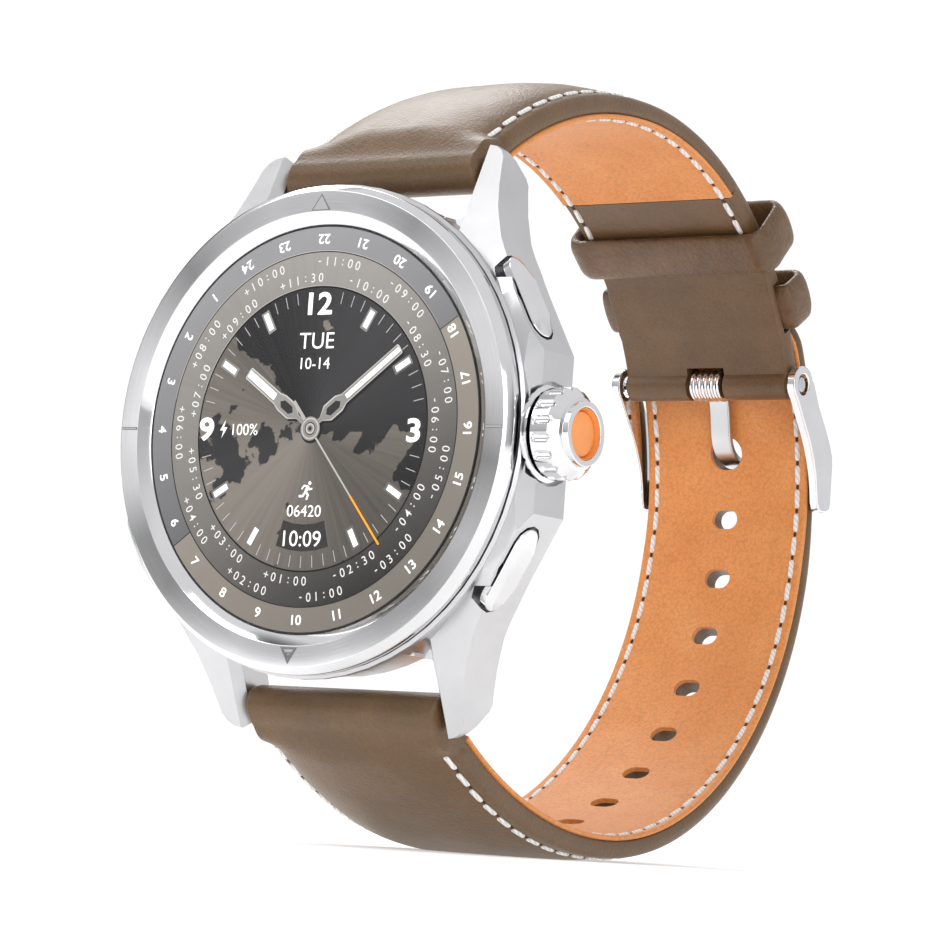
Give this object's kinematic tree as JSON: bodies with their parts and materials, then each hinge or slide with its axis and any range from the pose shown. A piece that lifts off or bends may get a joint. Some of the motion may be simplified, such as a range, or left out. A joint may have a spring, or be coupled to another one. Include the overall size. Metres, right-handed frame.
{
  "type": "smartwatch",
  "caption": "Smartwatch with a round steel case, lugs, a turning and pressing crown between two pushers, a round display and a fastened padded leather strap with pin buckle and keepers.",
  "frame": {"origin": "centre of the sensor window's flat face, on the back of the case", "axes": "+X towards the crown, +Y out of the case's back into the wrist, +Z towards twelve o'clock; the dial faces -Y"},
  "size_m": [0.0506, 0.0801, 0.0762],
  "materials": {
    "satin_steel": "satin",
    "polished_steel": "polished",
    "screw_steel": "satin",
    "cover_glass": "polished",
    "display": "gloss",
    "sensor_glass": "polished",
    "ceramic": "satin",
    "rubber": "matte",
    "frame_plastic": "matte",
    "circuit_board": "satin",
    "battery_foil": "satin",
    "gold": "polished",
    "crown_orange": "gloss",
    "brown_leather": "satin",
    "orange_leather": "satin",
    "foam": "matte"
  },
  "bodies": {
    "case": {"back_cover": "ceramic", "back_gasket": "rubber", "back_screw_1": "screw_steel", "back_screw_2": "screw_steel", "back_screw_3": "screw_steel", "back_screw_4": "screw_steel", "battery": "battery_foil", "bezel": "satin_steel", "buckle_bar": "polished_steel", "buckle_strap_lining": "orange_leather", "buckle_strap_outer": "brown_leather", "buckle_strap_padding": "foam", "charging_contact_1": "gold", "charging_contact_2": "gold", "cover_glass": "cover_glass", "crown_seal": "rubber", "crown_switch": "frame_plastic", "crown_tube": "polished_steel", "display_gasket": "rubber", "display_panel": "display", "fixed_keeper": "brown_leather", "hole_strap_lining": "orange_leather", "hole_strap_outer": "brown_leather", "hole_strap_padding": "foam", "inner_frame": "frame_plastic", "lower_pusher_seal": "rubber", "lower_pusher_switch": "frame_plastic", "lower_spring_bar": "screw_steel", "main_board": "circuit_board", "mid_case": "satin_steel", "sensor_board": "circuit_board", "sensor_window": "sensor_glass", "speaker": "frame_plastic", "upper_pusher_seal": "rubber", "upper_pusher_switch": "frame_plastic", "upper_spring_bar": "screw_steel", "vibration_motor": "satin_steel"},
    "crown_slider": {"crown_plunger": "frame_plastic"},
    "crown": {"crown_cap": "polished_steel", "crown_inlay": "crown_orange", "crown_stem": "polished_steel"},
    "upper_pusher": {"upper_pusher": "polished_steel"},
    "lower_pusher": {"lower_pusher": "polished_steel"},
    "loose_keeper": {"loose_keeper": "brown_leather"},
    "buckle": {"buckle_frame": "polished_steel"},
    "tang": {"buckle_tang": "polished_steel"}
  },
  "joints": [
    {"name": "crown_press", "type": "slide", "parent": "case", "child": "crown_slider", "axis": [-1, 0, 0], "range_m": [0, 0.00035], "stiffness_N_per_m": 300, "springref_m": -0.0005},
    {"name": "crown_turn", "type": "hinge", "parent": "crown_slider", "child": "crown", "pos_m": [0.024, -0.0074, 0], "axis": [1, 0, 0], "continuous": true},
    {"name": "upper_push", "type": "slide", "parent": "case", "child": "upper_pusher", "axis": [-0.8746, 0, -0.4848], "range_m": [0, 0.0005], "stiffness_N_per_m": 300, "springref_m": -0.0005},
    {"name": "lower_push", "type": "slide", "parent": "case", "child": "lower_pusher", "axis": [-0.8746, 0, 0.4848], "range_m": [0, 0.0005], "stiffness_N_per_m": 300, "springref_m": -0.0005},
    {"name": "keeper_travel", "type": "hinge", "parent": "case", "child": "loose_keeper", "pos_m": [0, 0.026, 0.0027], "axis": [1, 0, 0], "range_deg": [-3.5, 38]},
    {"name": "buckle_swing", "type": "hinge", "parent": "case", "child": "buckle", "pos_m": [0, 0.05742, 0.01358], "axis": [1, 0, 0], "range_deg": [0, 3]},
    {"name": "tang_swing", "type": "hinge", "parent": "case", "child": "tang", "pos_m": [0, 0.05742, 0.01358], "axis": [1, 0, 0], "range_deg": [0, 1.5]}
  ]
}
